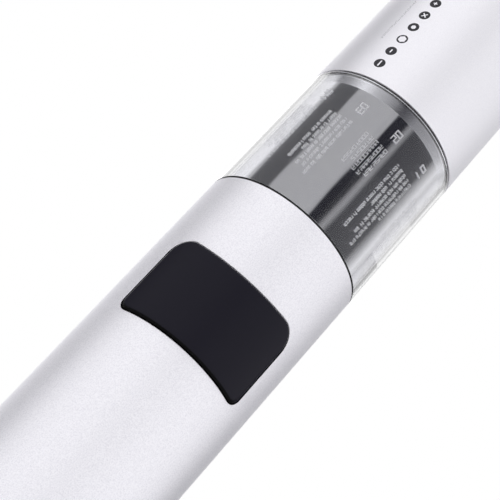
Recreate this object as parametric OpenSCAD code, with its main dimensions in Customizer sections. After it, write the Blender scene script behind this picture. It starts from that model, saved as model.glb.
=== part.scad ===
// In-line cordless screwdriver with a pull-off cap, standing on its tail.
// The tool's axis is +Z, the control pad faces -Y and the charging port faces +Y.

/* [Overall] */
// Outside diameter shared by the handle, the clear sleeve and the cap
body_d = 45; // [37.5:0.5:56]
// Height of the handle tube's upper end above the surface it stands on
handle_h = 141.6; // [118:0.2:180]
// Distance from the handle tube to the satin front ring, along the clear sleeve
window_h = 38.6; // [32.2:0.2:48]
// Length of the pull-off cap
cap_h = 62; // [51.6:0.2:80]

/* [Walls] */
// Wall of the aluminium handle tube
tube_wall = 1.8; // [1.2:0.1:2.4]
// Wall of the moulded chassis halves
chassis_wall = 1.6; // [1.2:0.1:2.2]
// Wall of the clear sleeve
sleeve_wall = 1.3; // [0.9:0.05:1.8]
// Wall of the bright barrel under the clear sleeve
barrel_wall = 1.8; // [1.2:0.1:2.4]
// Wall of the aluminium cap
cap_wall = 1.2; // [0.8:0.1:1.8]
// Wall of the plastic liner inside the cap
liner_wall = 0.9; // [0.6:0.05:1.3]
// Thickness of the cap's closed end
cap_end = 1.8; // [1.2:0.1:3]

/* [Control pad] */
// Half of the angle that the pad covers around the handle, in degrees
pad_angle = 51; // [40:1:56]
// Height of the pad along the handle
pad_h = 23.3; // [19:0.1:28]
// Distance from the pad's upper edge to the handle tube's upper end
pad_drop = 22.2; // [18:0.2:30]
// Radius of the pad's upper corners
pad_corner_top = 5; // [2:0.1:7]
// Radius of the pad's lower corners
pad_corner_low = 2.7; // [1.5:0.1:5]
// How far the middle of the pad's upper edge dips below its corners
pad_dip = 0.9; // [0:0.1:2]
// How far the pad stands out of the handle
pad_proud = 0.8; // [0.4:0.1:1.4]
// Gap between the pad and its window
pad_gap = 0.45; // [0.35:0.05:0.8]

/* [Power] */
// Diameter of the battery cell
cell_d = 18.4; // [14:0.1:22.2]
// Length of the battery cell
cell_len = 65; // [48:1:74]
// Diameter of the motor
motor_d = 24.4; // [20:0.1:29.4]
// Length of the motor's can
motor_len = 26; // [21:0.5:31.5]
// Diameter of the motor shaft
shaft_d = 3.17; // [2:0.01:4]

/* [Gearbox] */
// Wall of the ring gear outside its teeth
ring_wall = 2.4; // [1.6:0.1:3]
// Width of the first stage's planet gears
stage_one_w = 4.5; // [3.5:0.1:5.4]
// Width of the second stage's planet gears
stage_two_w = 6.4; // [5:0.1:7.7]
// Diameter of the planet pins
planet_pin_d = 3; // [2:0.1:3.6]

/* [Chuck and bits] */
// Distance across the flats of the hexagon bits
hex_af = 6.35; // [5:0.05:8]
// Length of one bit
bit_len = 25; // [21:0.5:30]
// Depth of the chuck's hexagon socket
socket_depth = 13; // [10:0.5:16]
// Outside diameter of the chuck
chuck_d = 15; // [13:0.5:18]
// Height of the chuck's mouth above the front ring
chuck_reach = 23.6; // [20:0.2:29]
// Outside diameter of the spindle bearing
bearing_od = 21; // [18:0.5:25.2]
// Diameter of the spindle in the bearing
spindle_d = 12; // [10:0.5:13]

/* [Fits] */
// Gap between pieces that are fixed to each other
fit = 0.1; // [0.05:0.05:0.15]
// Radial running clearance of a turning shaft
run = 0.05; // [0.02:0.01:0.08]
// Gap between pieces that move past each other
gap = 0.4; // [0.3:0.05:0.5]

/* [Hidden] */
$fn = 96;
over = 1;

// Radii that follow from the outside diameter and the walls
body_r = body_d / 2;
tube_ir = body_r - tube_wall;
chassis_or = tube_ir - 2 * fit;
chassis_ir = chassis_or - chassis_wall;
sleeve_ir = body_r - sleeve_wall;
barrel_or = sleeve_ir - 2 * fit;
barrel_ir = barrel_or - barrel_wall;
inner_r = barrel_ir - fit;

// Heights of the tail end
foot_out = 0.8;
foot_h = foot_out + 1.2;
foot_r = body_r - 3.6;
tail_head_r = 2.4;
tail_shank_r = 1.2;
edge = 1;
tail_z = 5;
plug_z = 12.5;
floor_z = plug_z + 0.5;
floor_t = 3;
board_t = 1.2;
charge_z = floor_z + floor_t + 0.6;
usb_h = 3.2;
port_h = usb_h + 0.8;
usb_w = 8.94;
usb_len = 7.3;
usb_z = charge_z + board_t + usb_h / 2;
rib_t = 2;
cell_z = charge_z + board_t + usb_h + 0.8 + rib_t;
cell_r = cell_d / 2;
lamp_z = usb_z + 7.6;
lamp_r = 1;

// Control pad, its rocker and the two switches under it
pad_top = handle_h - pad_drop;
pad_low = pad_top - pad_h;
pad_mid = pad_top - pad_h / 2;
pad_r = body_r + pad_proud;
skin_ir = body_r - 1.2;
frame_ir = body_r - 3.7;
pin_r = 1;
pin_y = -(frame_ir - 2.6);
switch_h = 4.3;
switch_body = 3.5;
nub_out = 0.5;
switch_gap = 0.5;
switch_step = 0.64 * pad_h / 2;
board_front = -(frame_ir - nub_out - switch_gap - switch_h);
board_back = board_front + board_t;
board_half = sqrt(pow(chassis_ir, 2) - pow(board_front, 2)) - 0.6;
chip_h = 1.4;
chip_half = 6.5;
board_lo = cell_z + 4;
board_hi = pad_mid + switch_step + 4;
cell_y = (board_back + chassis_ir) / 2;
cell_top = cell_z + cell_len;
boss_x = chassis_ir - 3.9;
screw_head_r = 1.7;
boss_z = [cell_z + 8, pad_low - 5];

// Front end: the gearbox is stacked back from the front ring
ring_z = handle_h + window_h;
ring_h = 3.2;
front_z = ring_z + ring_h;
bearing_w = 5;
bearing_z = ring_z - 4;
housing_z = bearing_z - 0.5;
housing_top = housing_z + bearing_w + 1.2;
lock_h = 3.2;
lock_z = housing_z - 0.2 - lock_h;
carrier_t = 2.5;
spindle_z = lock_z - gap - carrier_t;
stage_two_z = spindle_z - gap - stage_two_w;
first_disc_t = 1.7;
first_disc_z = stage_two_z - gap - first_disc_t;
stage_one_z = first_disc_z - gap - stage_one_w;
plate_t = 2.6;
plate_z = stage_one_z - 0.7 - plate_t;
motor_r = motor_d / 2;
motor_top = plate_z - 0.3;
motor_z = motor_top - motor_len;
bell_t = 2.5;
bell_z = motor_z - bell_t;
hub_r = 3.1;
can_t = 1;
motor_screw_at = motor_r * 0.66;
lead_r = 0.7;
lead_at = motor_r * 0.6;
lead_z = board_hi - 1.5;
shaft_r = shaft_d / 2;
barrel_z = handle_h - 13.6;
chassis_top = barrel_z - 1;

// Gears: 12-tooth suns, 18-tooth planets and a 48-tooth ring give 5 to 1 in each stage
sun_n = 12;
planet_n = 18;
ring_n = 48;
pressure = 25;
addendum = 0.9;
dedendum = 1.15;
backlash = 0.1;
gear_m = (inner_r - ring_wall) / (ring_n / 2 + dedendum);
centre_r = gear_m * (sun_n + planet_n) / 2;
planet_pin_r = planet_pin_d / 2;
carrier_r = centre_r + planet_pin_r + 1.6;
roller_r = 1.45;
roller_at = centre_r + 1.05;

// Chuck, cap and bits
chuck_r = chuck_d / 2;
chuck_edge = 0.8;
spindle_r = spindle_d / 2;
bearing_or = bearing_od / 2;
race_t = 1.3;
ball_at = (bearing_or + spindle_r) / 2;
ball_r = (bearing_or - spindle_r) / 2 - 0.9;
clip_z = bearing_z + bearing_w + 0.1;
clip_t = 0.8;
clip_groove = 0.5;
chuck_top = front_z + chuck_reach;
socket_z = chuck_top - socket_depth;
magnet_h = 3;
hex_r = hex_af / sqrt(3);
bit_tip = 9;
bit_play = 0.06;
spigot_h = 6.6;
cap_line = 0.6;
rim_h = 0.25;
cap_z = front_z + cap_line;
cap_top = cap_z + cap_h;
cap_ir = body_r - cap_wall;
liner_or = cap_ir - fit;
liner_ir = liner_or - liner_wall;
spigot_or = liner_ir - 0.35;
spigot_ir = spigot_or - 1.25;
liner_h = 30;
seal_r = 0.6;
seal_z = front_z + 3.6;
rack_h = 18;
rack_top = cap_top - cap_end;
rack_z = rack_top - rack_h;
magnet_ring_h = 4;
rack_bore = chuck_r + 1.5;
pocket_depth = 13.5;
pocket_r = hex_r + 0.1;
pocket_at = (rack_bore + liner_or) / 2;
stored_z = rack_z + pocket_depth - 0.1 - bit_len;
lens_z = front_z + 1.8;
lens_ir = chuck_r + 1.4;
led_z = housing_top + 0.2;
led_t = 1;

// ---- shared shapes ----

// A ring about the Z axis between two heights
module ring(r_out, r_in, z_lo, z_hi) {
    translate([0, 0, z_lo])
        difference() {
            cylinder(r = r_out, h = z_hi - z_lo);
            translate([0, 0, -over])
                cylinder(r = r_in, h = z_hi - z_lo + 2 * over);
        }
}

// Points of an arc, as [x, y]
function arc(cx, cy, r, from, to, steps = 6) =
    [for (i = [0 : steps]) let (a = from + (to - from) * i / steps) [cx + r * cos(a), cy + r * sin(a)]];

// The pad's outline unrolled on the handle's surface, grown by g on every side
function pad_flat(g, half) = concat(
    arc(-half + pad_corner_low, pad_low + pad_corner_low, pad_corner_low + g, 180, 270),
    arc(half - pad_corner_low, pad_low + pad_corner_low, pad_corner_low + g, 270, 360),
    arc(half - pad_corner_top, pad_top - pad_corner_top, pad_corner_top + g, 0, 90),
    [for (i = [1 : 7])
        let (u = 1 - i / 4)
            [u * (half - pad_corner_top), pad_top + g - pad_dip * (1 - u * u)]],
    arc(-half + pad_corner_top, pad_top - pad_corner_top, pad_corner_top + g, 90, 180));

// A prism through the front wall that the pad or its window fills
module pad_prism(g) {
    half = body_r * pad_angle * PI / 180;
    rotate([90, 0, 0])
        linear_extrude(height = body_r + 4)
            polygon([for (p = pad_flat(g, half)) [body_r * sin(p[0] / body_r * 180 / PI), p[1]]]);
}

// Involute helpers: polar angle, in degrees, of the flank at radius r
function involute(r, base) = r <= base ? 0 : let (t = sqrt(pow(r / base, 2) - 1)) t * 180 / PI - atan(t);

// A gear outline of n teeth with a tooth centred on +X, thinned on each flank by slack
module gear_flat(n, r_tip, r_root, slack) {
    pitch = gear_m * n / 2;
    base = pitch * cos(pressure);
    half = 90 / n - slack / pitch * 180 / PI + involute(pitch, base);
    low = max(base, r_root);
    radii = [r_root, for (i = [0 : 3]) low + (r_tip - low) * i / 3];
    polygon([for (k = [0 : n - 1])
        for (s = [-1, 1])
            for (i = [0 : 4])
                let (j = s < 0 ? i : 4 - i, r = radii[j], a = 360 * k / n + s * (half - involute(r, base)))
                    [r * cos(a), r * sin(a)]]);
}

module outer_gear(n, z_lo, width) {
    translate([0, 0, z_lo])
        linear_extrude(height = width)
            gear_flat(n, gear_m * (n / 2 + addendum), gear_m * (n / 2 - dedendum), backlash / 2);
}

// A planet gear on its pin, at one of the three places around the sun
module planet(k, z_lo, width) {
    rotate([0, 0, 120 * k])
        translate([centre_r, 0, 0])
            difference() {
                rotate([0, 0, 180 / planet_n])
                    outer_gear(planet_n, z_lo, width);
                translate([0, 0, z_lo - over])
                    cylinder(r = planet_pin_r + run, h = width + 2 * over);
            }
}

// The three pins of a planet carrier
module planet_pins(z_lo, z_hi) {
    for (k = [0 : 2])
        rotate([0, 0, 120 * k])
            translate([centre_r, 0, z_lo])
                cylinder(r = planet_pin_r, h = z_hi - z_lo);
}

// A flat slot with round ends, seen along Y and centred at height z
module stadium_prism(width, height, z, y_lo, y_hi) {
    translate([0, y_hi, z])
        rotate([90, 0, 0])
            linear_extrude(height = y_hi - y_lo) {
                square([width - height, height], center = true);
                for (s = [-1, 1])
                    translate([s * (width - height) / 2, 0])
                        circle(d = height);
            }
}

// A round solid along Y between two depths
module y_rod(r, x, z, y_lo, y_hi) {
    translate([x, y_hi, z])
        rotate([90, 0, 0])
            cylinder(r = r, h = y_hi - y_lo);
}

// A round solid along X between two places
module x_rod(r, y, z, x_lo, x_hi) {
    translate([x_lo, y, z])
        rotate([0, 90, 0])
            cylinder(r = r, h = x_hi - x_lo);
}

// A pan-head screw pointing down from its head, with a cross recess
module screw_down(head_r, head_h, shank_r, length) {
    difference() {
        union() {
            cylinder(r = head_r, h = head_h);
            translate([0, 0, -length])
                cylinder(r = shank_r, h = length + head_h / 2);
        }
        for (a = [0, 90])
            rotate([0, 0, a])
                translate([-head_r * 0.6, -head_r * 0.14, head_h * 0.45])
                    cube([head_r * 1.2, head_r * 0.28, head_h]);
    }
}

// ---- handle ----

// Turned aluminium tube with the pad's window and the charging port's slot
module handle_tube() {
    color("#d9d8de")
        difference() {
            ring(body_r, tube_ir, tail_z, handle_h);
            pad_prism(pad_gap);
            stadium_prism(usb_w + 1, port_h, usb_z, tube_ir - over, body_r + over);
            y_rod(lamp_r + fit, 0, lamp_z, tube_ir - over, body_r + over);
        }
}

// Aluminium tail: a disc with a groove for the foot and a plug that enters the tube
module tail_cap() {
    color("#d2d1d7")
        difference() {
            union() {
                translate([0, 0, foot_out])
                    cylinder(r1 = body_r - edge, r2 = body_r, h = edge);
                translate([0, 0, foot_out + edge])
                    cylinder(r = body_r, h = tail_z - foot_out - edge);
                ring(tube_ir - fit, chassis_ir - 1, tail_z - over, plug_z);
            }
            cylinder(r = foot_r, h = foot_h);
            tail_places() {
                cylinder(r = tail_head_r + 0.2, h = foot_h + 1);
                cylinder(r = tail_shank_r + 0.2, h = tail_z + over);
            }
        }
}

// The three places of the tail's screws
module tail_places() {
    for (a = [90, 210, 330])
        rotate([0, 0, a])
            translate([body_r * 0.4, 0, 0])
                children();
}

// Rubber pad that the tool stands on, with a hole below each tail screw
module foot_pad() {
    color("#2a2a2e")
        difference() {
            cylinder(r = foot_r - fit, h = foot_h);
            tail_places()
                translate([0, 0, -over])
                    cylinder(r = tail_head_r + 0.5, h = foot_h + 2 * over);
        }
}

// Three screws that draw the tail onto the chassis
module tail_screws() {
    color("#8c8c92")
        tail_places()
            translate([0, 0, foot_h + 1])
                rotate([180, 0, 0])
                    screw_down(tail_head_r, 1.6, tail_shank_r, floor_z + 2 - foot_h - 1);
}

// One half of the chassis: side is -1 for the front half and 1 for the back half
module chassis_half(side) {
    difference() {
        union() {
            ring(chassis_or, chassis_ir, floor_z, chassis_top);
            ring(chassis_ir + over / 2, 6, floor_z, floor_z + floor_t);
            ring(chassis_ir + over / 2, 6, cell_z - 0.4 - rib_t, cell_z - 0.4);
            for (z = [cell_z + 0.25 * cell_len, cell_z + 0.72 * cell_len])
                ring(chassis_ir + over / 2, 7.5, z, z + rib_t);
            ring(chassis_ir + over / 2, 6, cell_top + 0.5, cell_top + 0.5 + rib_t);
            for (s = [-1, 1])
                for (z = boss_z)
                    intersection() {
                        y_rod(2.2, s * boss_x, z, -7, 7);
                        cylinder(r = chassis_or, h = handle_h);
                    }
        }
        translate([-body_r, side < 0 ? 0 : -body_d, 0])
            cube([body_d, body_d, handle_h]);
        translate([0, cell_y, cell_z - fit])
            cylinder(r = cell_r + 0.15, h = cell_len + 2 * fit);
        translate([-board_half - fit, board_front - fit, board_lo - fit])
            cube([2 * (board_half + fit), board_t + 2 * fit, board_hi - board_lo + 2 * fit]);
        translate([-chip_half - fit, board_front - chip_h - fit, board_lo])
            cube([2 * (chip_half + fit), chip_h + over, board_hi - board_lo]);
        for (s = [-1, 1])
            for (z = boss_z) {
                y_rod(side < 0 ? 1.2 : 1.0, s * boss_x, z, -8, 5.6);
                y_rod(screw_head_r + 0.3, s * boss_x, z, -body_r, -7);
            }
        tail_places()
            cylinder(r = tail_shank_r, h = floor_z + 2.4);
    }
}

// Front half of the moulded chassis, open under the pad
module chassis_front() {
    color("#3a3a40")
        difference() {
            chassis_half(-1);
            pad_prism(pad_gap + 0.8);
        }
}

// Back half of the moulded chassis, open at the charging port and its lamp
module chassis_back() {
    color("#3a3a40")
        difference() {
            chassis_half(1);
            stadium_prism(usb_w + 1, port_h, usb_z, chassis_ir - over, chassis_or + over);
            y_rod(lamp_r + fit, 0, lamp_z, chassis_ir - over, chassis_or + over);
        }
}

// Four self-tapping screws that close the chassis
module chassis_screws() {
    color("#8c8c92")
        for (s = [-1, 1])
            for (z = boss_z)
                translate([s * boss_x, -7, z])
                    rotate([90, 0, 0])
                        screw_down(screw_head_r, 1.2, 1.0, 12.4);
}

// Wrapped lithium cell with its raised positive end
module battery_cell() {
    color("#3f7fb5")
        translate([0, cell_y, cell_z + 0.35]) {
            cylinder(r = cell_r, h = cell_len - 1.6);
            cylinder(r = cell_r * 0.4, h = cell_len - 0.7);
        }
}

// Nickel strips welded to both ends of the cell and run to the board
module battery_contacts() {
    color("#c9c6bb")
        for (z = [cell_z - 0.1, cell_top - 0.35])
            translate([-3, board_back, z])
                cube([6, cell_y - board_back + 3, 0.3]);
}

// Round board that carries the charging port
module charge_board() {
    color("#1f5d3a")
        translate([0, 0, charge_z])
            cylinder(r = chassis_ir - 0.3, h = board_t);
}

// Steel shell of the charging port with its contact tongue
module usb_socket() {
    color("#b9bac0") {
        difference() {
            stadium_prism(usb_w, usb_h, usb_z, body_r - 0.5 - usb_len, body_r - 0.5);
            stadium_prism(usb_w - 0.6, usb_h - 0.6, usb_z, body_r - 6.4, body_r);
        }
        translate([-3.35, body_r - 6.9, usb_z - 0.35])
            cube([6.7, 4.7, 0.7]);
    }
}

// Charging lamp in the back wall
module charge_lamp() {
    color("#d8f0d8") {
        y_rod(lamp_r, 0, lamp_z, chassis_ir - 0.4, body_r - 0.15);
        y_rod(1.6, 0, lamp_z, chassis_ir - 1.4, chassis_ir - 0.2);
    }
}

// Long board with the controller, behind the pad and in front of the cell
module control_board() {
    color("#1f5d3a")
        difference() {
            union() {
                translate([-board_half, board_front, board_lo])
                    cube([2 * board_half, board_t, board_hi - board_lo]);
                translate([-4, board_front - chip_h, board_lo + 12])
                    cube([8, chip_h, 8]);
                for (s = [-1, 1])
                    translate([s * (chip_half - 2.5) - 2.5, board_front - 1.1, board_lo + 30])
                        cube([5, 1.1, 6]);
            }
            y_rod(1.1, 0, board_lo + 5, board_front - over, board_back + over);
        }
}

// Two push switches, one under each end of the pad
module tact_switches() {
    color("#55555c")
        for (s = [-1, 1]) {
            translate([-3, board_front - switch_body, pad_mid + s * switch_step - 3])
                cube([6, switch_body, 6]);
            y_rod(1.7, 0, pad_mid + s * switch_step, board_front - switch_h, board_front - switch_body + 0.2);
        }
}

// Bracket on the board that holds the rocker's pin
module rocker_bracket() {
    color("#4a4a50")
        difference() {
            union() {
                translate([-5.2, board_front - 1.2, pad_mid - 3.6])
                    cube([10.4, 1.2, 7.2]);
                for (s = [-1, 1])
                    translate([s * 4.1 - 1.1, pin_y - pin_r - 0.4, pad_mid - 2])
                        cube([2.2, board_front - pin_y + pin_r + 0.4, 4]);
            }
            x_rod(pin_r, pin_y, pad_mid, -6, 6);
        }
}

// Steel pin that the pad rocks on
module rocker_pin() {
    color("#b4b5bb")
        x_rod(pin_r, pin_y, pad_mid, -9, 9);
}

// ---- control pad ----

// Soft black skin of the pad
module rocker_pad() {
    color("#29282e")
        difference() {
            intersection() {
                pad_prism(0);
                cylinder(r = pad_r, h = handle_h);
            }
            cylinder(r = skin_ir, h = handle_h);
        }
}

// Hard frame under the skin, with the pin's lugs and a nub over each switch
module rocker_frame() {
    color("#35343b")
        difference() {
            intersection() {
                union() {
                    difference() {
                        pad_prism(-0.4);
                        cylinder(r = frame_ir, h = handle_h);
                    }
                    for (s = [-1, 1]) {
                        translate([s * 7.5 - 1.5, pin_y - 4, pad_mid - 2.3])
                            cube([3, 6.2, 4.6]);
                        y_rod(1.3, 0, pad_mid + s * switch_step, -frame_ir - 1, -frame_ir + nub_out);
                    }
                }
                cylinder(r = skin_ir, h = handle_h);
            }
            x_rod(pin_r + run, pin_y, pad_mid, -9.6, 9.6);
        }
}

// ---- motor ----

// Steel can with its front bearing hub
module motor_can() {
    color("#a9aab0")
        difference() {
            union() {
                translate([0, 0, motor_z])
                    cylinder(r = motor_r, h = motor_len);
                translate([0, 0, motor_top - over])
                    cylinder(r = hub_r, h = over + 1.5);
            }
            translate([0, 0, motor_z - over])
                cylinder(r = motor_r - can_t, h = motor_len - can_t + over);
            translate([0, 0, motor_z])
                cylinder(r = shaft_r + run, h = motor_len + 4);
            for (s = [-1, 1])
                translate([s * motor_screw_at, 0, motor_top - 3])
                    cylinder(r = 1.25, h = 6);
        }
}

// Two arc magnets inside the can
module motor_magnets() {
    color("#4c4c52")
        difference() {
            ring(motor_r - can_t - fit, motor_r - 3.2, motor_z + 3.5, motor_top - 4);
            translate([-motor_r * 0.4, -motor_r, motor_z])
                cube([motor_r * 0.8, motor_d, motor_len]);
        }
}

// Moulded rear end of the motor with its brush terminals
module motor_end_bell() {
    color("#2f2f35")
        difference() {
            union() {
                translate([0, 0, bell_z])
                    cylinder(r = motor_r - 0.2, h = bell_t);
                translate([0, 0, bell_z - 1.5])
                    cylinder(r = 4, h = 1.5 + over);
            }
            translate([0, 0, bell_z - 3])
                cylinder(r = shaft_r + run, h = bell_t + 4);
        }
}

// Two insulated leads from the board to the motor
module motor_leads() {
    color("#a33a34")
        for (s = [-1, 1])
            translate([s * lead_at, 0, 0]) {
                translate([0, 0, lead_z])
                    cylinder(r = lead_r, h = bell_z - lead_z);
                translate([0, 0, lead_z])
                    sphere(r = lead_r);
                y_rod(lead_r, 0, lead_z, board_back, 0);
            }
}

// Steel plate between motor and gearbox
module motor_plate() {
    color("#9b9ca2")
        difference() {
            translate([0, 0, plate_z])
                cylinder(r = inner_r, h = plate_t);
            translate([0, 0, plate_z - over])
                cylinder(r = hub_r + fit, h = plate_t + 2 * over);
            for (s = [-1, 1])
                translate([s * motor_screw_at, 0, plate_z - over]) {
                    cylinder(r = 1.4, h = plate_t + 2 * over);
                    translate([0, 0, over + plate_t - 1.2])
                        cylinder(r = 2.3, h = 2 * over);
                }
        }
}

// Two screws through the plate into the motor
module motor_screws() {
    color("#8c8c92")
        for (s = [-1, 1])
            translate([s * motor_screw_at, 0, plate_z + plate_t - 1.2])
                screw_down(2.1, 1.1, 1.2, 3.4);
}

// Steel shaft through the whole motor
module motor_shaft() {
    color("#c4c5ca")
        translate([0, 0, bell_z - 0.6])
            cylinder(r = shaft_r, h = stage_one_z + stage_one_w - bell_z + 0.6);
}

// Wound armature on the shaft
module motor_armature() {
    color("#9a6a3a")
        difference() {
            union() {
                translate([0, 0, motor_z + 5])
                    cylinder(r = motor_r - 3.6, h = motor_len - 10.5);
                translate([0, 0, motor_z + 1])
                    cylinder(r = motor_r * 0.3, h = 5);
            }
            translate([0, 0, motor_z])
                cylinder(r = shaft_r, h = motor_len);
            for (k = [0 : 4])
                rotate([0, 0, 72 * k])
                    translate([motor_r * 0.36, -0.8, motor_z + 7])
                        cube([motor_r, 1.6, motor_len]);
        }
}

// ---- gearbox ----

// First sun gear, pressed on the motor shaft
module sun_pinion() {
    color("#c9a24a")
        difference() {
            outer_gear(sun_n, stage_one_z - 0.2, stage_one_w + 0.2);
            translate([0, 0, stage_one_z - over])
                cylinder(r = shaft_r, h = stage_one_w + 2 * over);
        }
}

// Ring gear that both stages run in
module ring_gear() {
    color("#8f9096")
        difference() {
            translate([0, 0, stage_one_z - 0.6])
                cylinder(r = inner_r, h = spindle_z - stage_one_z + 0.4);
            translate([0, 0, stage_one_z - over])
                rotate([0, 0, 180 / ring_n])
                    linear_extrude(height = spindle_z - stage_one_z + 2 * over)
                        gear_flat(ring_n, gear_m * (ring_n / 2 + dedendum), gear_m * (ring_n / 2 - addendum),
                            -backlash / 2);
        }
}

// First carrier: three pins below, the second sun gear above
module first_carrier() {
    color("#a4a5ab") {
        translate([0, 0, first_disc_z])
            cylinder(r = carrier_r, h = first_disc_t);
        planet_pins(stage_one_z - 0.3, first_disc_z + first_disc_t / 2);
        outer_gear(sun_n, first_disc_z + first_disc_t / 2, stage_two_w + gap + first_disc_t / 2);
    }
}

module planet_one(k) {
    color("#e2ddcf")
        planet(k, stage_one_z, stage_one_w);
}

module planet_two(k) {
    color("#d6d0c0")
        planet(k, stage_two_z, stage_two_w);
}

// Output spindle: second carrier, lock cam, bearing seat and hexagon chuck in one piece
module spindle() {
    color("#b0b1b7")
        difference() {
            union() {
                translate([0, 0, spindle_z])
                    cylinder(r = carrier_r, h = carrier_t);
                planet_pins(stage_two_z, spindle_z + over);
                translate([0, 0, spindle_z + carrier_t])
                    cylinder(r = centre_r - 0.5, h = lock_h + gap - 0.2);
                translate([0, 0, spindle_z + carrier_t])
                    cylinder(r = spindle_r, h = front_z - spindle_z - carrier_t + 6);
                translate([0, 0, front_z + 5.9])
                    cylinder(r = chuck_r, h = chuck_reach - 5.9 - chuck_edge);
                translate([0, 0, chuck_top - chuck_edge])
                    cylinder(r1 = chuck_r, r2 = chuck_r - chuck_edge, h = chuck_edge);
            }
            translate([0, 0, socket_z])
                rotate([0, 0, 30])
                    cylinder(r = (hex_af / 2 + bit_play) / cos(30), h = socket_depth + over, $fn = 6);
            translate([0, 0, socket_z - magnet_h])
                cylinder(r = 2.6, h = magnet_h + over);
            ring(spindle_r + over, spindle_r - clip_groove, clip_z, clip_z + clip_t + 0.1);
        }
}

// Hardened ring that the lock rollers wedge against in manual use
module lock_ring() {
    color("#85868c")
        ring(inner_r, roller_at + roller_r + 0.15, lock_z, lock_z + lock_h);
}

// Three rollers of the automatic spindle lock
module lock_rollers() {
    color("#c4c5ca")
        for (k = [0 : 2])
            rotate([0, 0, 60 + 120 * k])
                translate([roller_at, 0, lock_z + 0.15])
                    cylinder(r = roller_r, h = lock_h - 0.3);
}

// Aluminium housing of the spindle bearing
module bearing_housing() {
    color("#9fa0a6")
        difference() {
            translate([0, 0, housing_z])
                cylinder(r = inner_r, h = housing_top - housing_z);
            translate([0, 0, housing_z - over])
                cylinder(r = bearing_or, h = over + 0.5 + bearing_w);
            translate([0, 0, housing_z - over])
                cylinder(r = bearing_or - 1.2, h = bearing_w + 5);
        }
}

// Ball bearing: the race in the housing
module bearing_outer() {
    color("#bfc0c5")
        difference() {
            ring(bearing_or, bearing_or - race_t, bearing_z, bearing_z + bearing_w);
            ball_groove();
        }
}

// Ball bearing: the race on the spindle
module bearing_inner() {
    color("#bfc0c5")
        difference() {
            ring(spindle_r + race_t, spindle_r, bearing_z, bearing_z + bearing_w);
            ball_groove();
        }
}

// The ball track, a little larger than the balls
module ball_groove() {
    translate([0, 0, bearing_z + bearing_w / 2])
        rotate_extrude()
            translate([ball_at, 0])
                circle(r = ball_r + run);
}

// Ball bearing: the balls in their cage
module bearing_balls() {
    color("#d5d6da")
        for (k = [0 : 9])
            rotate([0, 0, 36 * k])
                translate([ball_at, 0, bearing_z + bearing_w / 2])
                    sphere(r = ball_r);
}

// Circlip that keeps the spindle in its bearing
module spindle_clip() {
    color("#6f7076")
        difference() {
            ring(spindle_r + 1.4, spindle_r - clip_groove, clip_z + 0.05, clip_z + 0.05 + clip_t);
            rotate([0, 0, -20])
                translate([0, -1.5, bearing_z])
                    cube([body_r, 3, 2 * bearing_w]);
        }
}

// Magnet at the bottom of the hexagon socket
module bit_magnet() {
    color("#cfd0d4")
        translate([0, 0, socket_z - magnet_h + 0.1])
            cylinder(r = 2.5, h = magnet_h - 0.2);
}

// ---- bits ----

// Hexagon shank with a neck, pointing up from z = 0
module bit_shank(length) {
    intersection() {
        cylinder(r = hex_r, h = length, $fn = 6);
        cylinder(r = hex_r - 0.15, h = length);
    }
}

// Flat blade tip
module slotted_tip(w, t) {
    intersection() {
        cylinder(r = w / 2, h = bit_tip);
        translate([-w / 2, -t / 2, 0])
            cube([w, t, bit_tip]);
    }
    cylinder(r1 = hex_r - 0.4, r2 = t * 0.6, h = 5);
}

// Hexagon key tip
module hexagon_tip(af) {
    cylinder(r = af / sqrt(3), h = bit_tip, $fn = 6);
    cylinder(r1 = hex_r - 0.4, r2 = af / 2.2, h = 2.5);
}

// Cross tip: a pointed rod with four flutes
module cross_tip(r) {
    difference() {
        union() {
            cylinder(r = r, h = bit_tip - 3);
            translate([0, 0, bit_tip - 3])
                cylinder(r1 = r, r2 = r * 0.3, h = 3);
        }
        for (a = [45 : 90 : 315])
            rotate([0, 0, a])
                translate([r * 0.45, 0, 4])
                    rotate([0, -12, 45])
                        cube([r * 2, r * 2, 8]);
    }
}

// A stored bit hangs from its pocket in the rack with its tip down
module stored(k) {
    rotate([0, 0, 60 * k + 30])
        translate([pocket_at, 0, stored_z + bit_len])
            rotate([180, 0, 0])
                children();
}

// Two slotted bits, wide and narrow
module slotted_bits() {
    color("#8d8e94")
        for (k = [0, 1])
            stored(k) {
                bit_shank(bit_len - bit_tip);
                translate([0, 0, bit_len - bit_tip])
                    slotted_tip(k == 0 ? 6 : 4, k == 0 ? 1.1 : 0.8);
            }
}

// Two hexagon key bits, large and small
module hexagon_bits() {
    color("#8d8e94")
        for (k = [2, 3])
            stored(k) {
                bit_shank(bit_len - bit_tip);
                translate([0, 0, bit_len - bit_tip])
                    hexagon_tip(k == 2 ? 5 : 3);
            }
}

// Two cross bits, large and small
module cross_bits() {
    color("#8d8e94")
        for (k = [4, 5])
            stored(k) {
                bit_shank(bit_len - bit_tip);
                translate([0, 0, bit_len - bit_tip])
                    cross_tip(k == 4 ? 2.6 : 1.8);
            }
}

// The cross bit carried in the chuck
module fitted_bit() {
    color("#8d8e94")
        translate([0, 0, socket_z + 0.1])
            rotate([0, 0, 30]) {
                bit_shank(bit_len - bit_tip);
                translate([0, 0, bit_len - bit_tip])
                    cross_tip(2.6);
            }
}

// ---- front end ----

// Polished barrel seen through the clear sleeve; its lower end plugs into the handle tube
module barrel() {
    color("#8e8f95")
        difference() {
            union() {
                translate([0, 0, barrel_z])
                    cylinder(r = tube_ir - fit, h = handle_h - barrel_z);
                translate([0, 0, handle_h])
                    cylinder(r = barrel_or, h = window_h);
            }
            translate([0, 0, barrel_z - over])
                cylinder(r = barrel_ir, h = window_h + handle_h - barrel_z + 2 * over);
        }
}

// Dark gasket between the handle tube and the clear sleeve
module sleeve_gasket() {
    color("#222226")
        ring(body_r - 0.3, barrel_or + fit, handle_h, handle_h + 0.5);
}

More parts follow.
